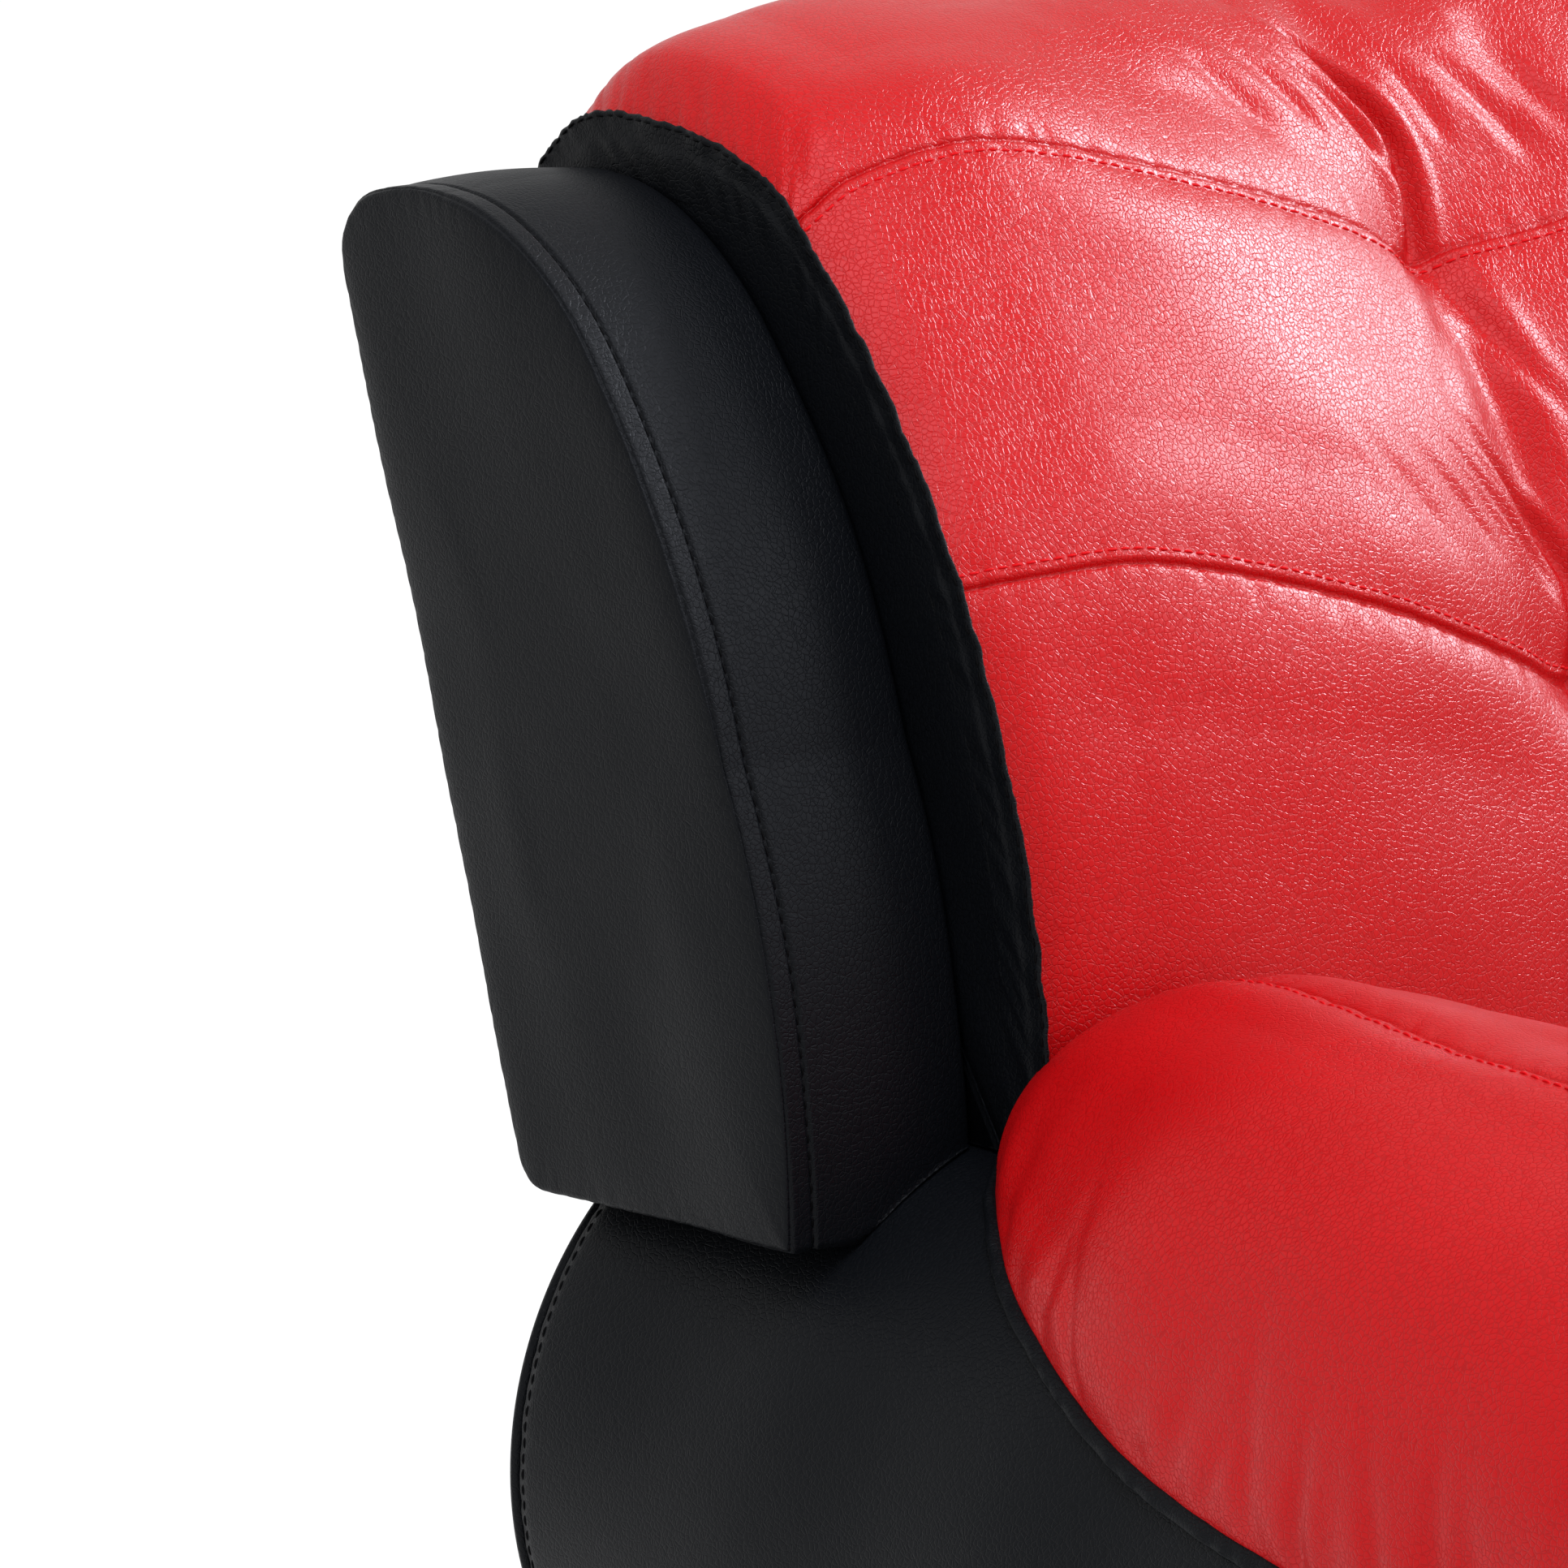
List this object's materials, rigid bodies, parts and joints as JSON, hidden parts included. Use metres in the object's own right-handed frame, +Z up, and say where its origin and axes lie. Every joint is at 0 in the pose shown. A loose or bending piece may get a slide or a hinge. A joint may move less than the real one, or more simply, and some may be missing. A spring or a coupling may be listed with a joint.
{
  "type": "three-seater sofa",
  "caption": "Two-tone faux leather sofa with tufted back cushions between D-shaped wings, rolled arms with puffed pads, and short feet.",
  "frame": {"origin": "middle of the outer box on the floor, under the seat", "axes": "+X along the sofa to its right arm seen from the front, +Y to the rear, +Z up; the seat faces -Y"},
  "size_m": [2, 0.9, 0.95],
  "materials": {
    "red_leather": "soft sheen, fine pebble grain",
    "black_leather": "satin, fine pebble grain",
    "timber": "sawn",
    "plywood": "sawn",
    "webbing": "woven elastic",
    "lining": "felted",
    "foot_plastic": "matte",
    "steel": "zinc plated"
  },
  "bodies": {
    "root": {"arm_inner_boards": "plywood", "arm_rails": "timber", "back_cushion_left": "red_leather", "back_cushion_middle": "red_leather", "back_cushion_right": "red_leather", "back_gussets_left": "black_leather", "back_gussets_middle": "black_leather", "back_gussets_right": "black_leather", "back_lumbar_rail": "timber", "back_post_1": "timber", "back_post_2": "timber", "back_post_3": "timber", "back_post_4": "timber", "back_top_rail": "timber", "back_webbing": "webbing", "cross_rails": "timber", "deck_pad": "lining", "dust_cover": "lining", "foot_blocks": "timber", "foot_front_left": "foot_plastic", "foot_front_middle": "foot_plastic", "foot_front_right": "foot_plastic", "foot_rear_left": "foot_plastic", "foot_rear_middle": "foot_plastic", "foot_rear_right": "foot_plastic", "foot_studs": "steel", "frame_bolts": "steel", "front_rail": "timber", "front_rail_cover": "black_leather", "left_arm_board": "timber", "left_arm_front_panel": "black_leather", "left_arm_pad": "red_leather", "left_arm_posts": "timber", "left_arm_rear_panel": "black_leather", "left_arm_roll": "black_leather", "left_arm_side_panel": "black_leather", "left_side_rail": "timber", "left_wing": "black_leather", "left_wing_board": "plywood", "lower_rear_cover": "black_leather", "rear_rail": "timber", "right_arm_board": "timber", "right_arm_front_panel": "black_leather", "right_arm_pad": "red_leather", "right_arm_posts": "timber", "right_arm_rear_panel": "black_leather", "right_arm_roll": "black_leather", "right_arm_side_panel": "black_leather", "right_side_rail": "timber", "right_wing": "black_leather", "right_wing_board": "plywood", "seat_cushion_left": "red_leather", "seat_cushion_middle": "red_leather", "seat_cushion_right": "red_leather", "seat_gussets_left": "black_leather", "seat_gussets_middle": "black_leather", "seat_gussets_right": "black_leather", "seat_webbing": "webbing", "upper_rear_cover": "black_leather"}
  },
  "joints": []
}
